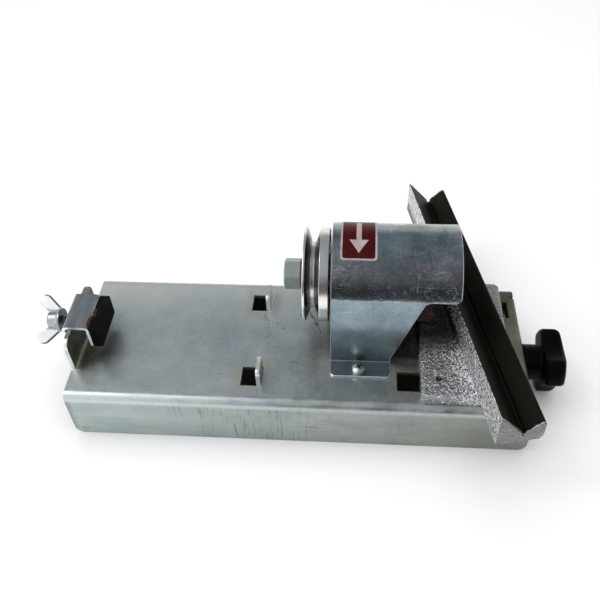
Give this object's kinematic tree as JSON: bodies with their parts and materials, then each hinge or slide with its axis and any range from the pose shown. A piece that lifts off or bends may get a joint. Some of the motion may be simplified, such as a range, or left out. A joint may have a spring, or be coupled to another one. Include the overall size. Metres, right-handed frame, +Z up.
{
  "type": "planer knife grinder",
  "caption": "Knife grinder on a pressed steel base: belt pulley and cup wheel under a sheet hood, angled cast V-rail on a screw-fed foot, feed knob and wing-bolt clamp.",
  "frame": {"origin": "centre of the outline in plan, at the height of the base channel's lower edges", "axes": "+X along the base and the spindle, from the clamp to the feed knob; +Y across the base, from its plain front flange to the rear; +Z up"},
  "size_m": [0.3242, 0.2042, 0.1097],
  "materials": {
    "zinc_base": "satin zinc plate with a faint olive and bluish passivation",
    "zinc_cover": "bright bluish zinc plate with fine scuffs",
    "label_red": "glossy dark red label with a pale border",
    "zinc_screw": "bright zinc",
    "housing_cast": "rough casting",
    "bearing_steel": "ground and polished",
    "ground_steel": "turned and ground",
    "turned_aluminium": "fine turned rings",
    "zinc_bolt": "pale zinc plate",
    "abrasive": "rough vitrified grit",
    "cast_aluminium": "bright sand casting, dark V faces",
    "bronze": "plain turned",
    "black_plastic": "moulded satin",
    "black_rubber": "dull",
    "rusty_steel": "rusted",
    "dark_steel": "blackened",
    "zinc_wing": "bright plated casting"
  },
  "bodies": {
    "base": {"base_plate": "zinc_base", "spindle_cover": "zinc_cover", "label_plate": "label_red", "cover_screws": "zinc_screw", "cover_spring_washers": "zinc_screw", "spindle_housing": "housing_cast", "housing_bolts": "zinc_screw", "housing_washers": "zinc_screw", "bearing_outer_rings": "bearing_steel", "housing_circlips": "dark_steel", "feed_bush": "bronze"},
    "spindle": {"spindle_shaft": "ground_steel", "pulley_key": "ground_steel", "v_pulley": "turned_aluminium", "pulley_washer": "dark_steel", "pulley_bolt": "zinc_bolt", "spindle_spacer": "ground_steel", "bearing_inner_rings": "bearing_steel", "bearing_balls": "bearing_steel", "wheel_flange": "ground_steel", "cup_wheel": "abrasive", "wheel_washer": "ground_steel", "wheel_nut": "zinc_bolt"},
    "carriage": {"guide_rail": "cast_aluminium", "feed_nut": "bronze", "carriage_keepers": "ground_steel", "keeper_screws": "zinc_screw"},
    "knob": {"feed_knob": "black_plastic", "knob_insert": "bronze", "feed_screw": "ground_steel", "feed_collar": "ground_steel", "collar_screw": "dark_steel"},
    "jaw": {"clamp_bracket": "zinc_cover", "clamp_pad": "black_rubber", "pad_disc": "rusty_steel", "pad_rivets": "zinc_screw"},
    "wing": {"wing_bolt": "zinc_wing", "wing_bolt_clip": "dark_steel"}
  },
  "joints": [
    {"name": "spindle_spin", "type": "hinge", "parent": "base", "child": "spindle", "pos_m": [0.0099, -0.00716, 0.077], "axis": [1, 0, 0], "continuous": true},
    {"name": "knob_turn", "type": "hinge", "parent": "base", "child": "knob", "pos_m": [0.1569, -0.02616, 0.0232], "axis": [1, 0, 0], "range_deg": [-1170, 1746]},
    {"name": "carriage_slide", "type": "slide", "parent": "base", "child": "carriage", "axis": [1, 0, 0], "range_m": [-0.006, 0.004]},
    {"name": "jaw_slide", "type": "slide", "parent": "base", "child": "jaw", "axis": [1, 0, 0], "range_m": [-0.0072, 0.001]},
    {"name": "wing_turn", "type": "hinge", "parent": "jaw", "child": "wing", "pos_m": [-0.1501, -0.02976, 0.0537], "axis": [1, 0, 0], "range_deg": [-2610, 378]}
  ],
  "couplings": [
    {"joint": "knob_turn", "follows": "carriage_slide", "rad_per_m": -5026.5},
    {"joint": "wing_turn", "follows": "jaw_slide", "rad_per_m": 6283.2}
  ]
}
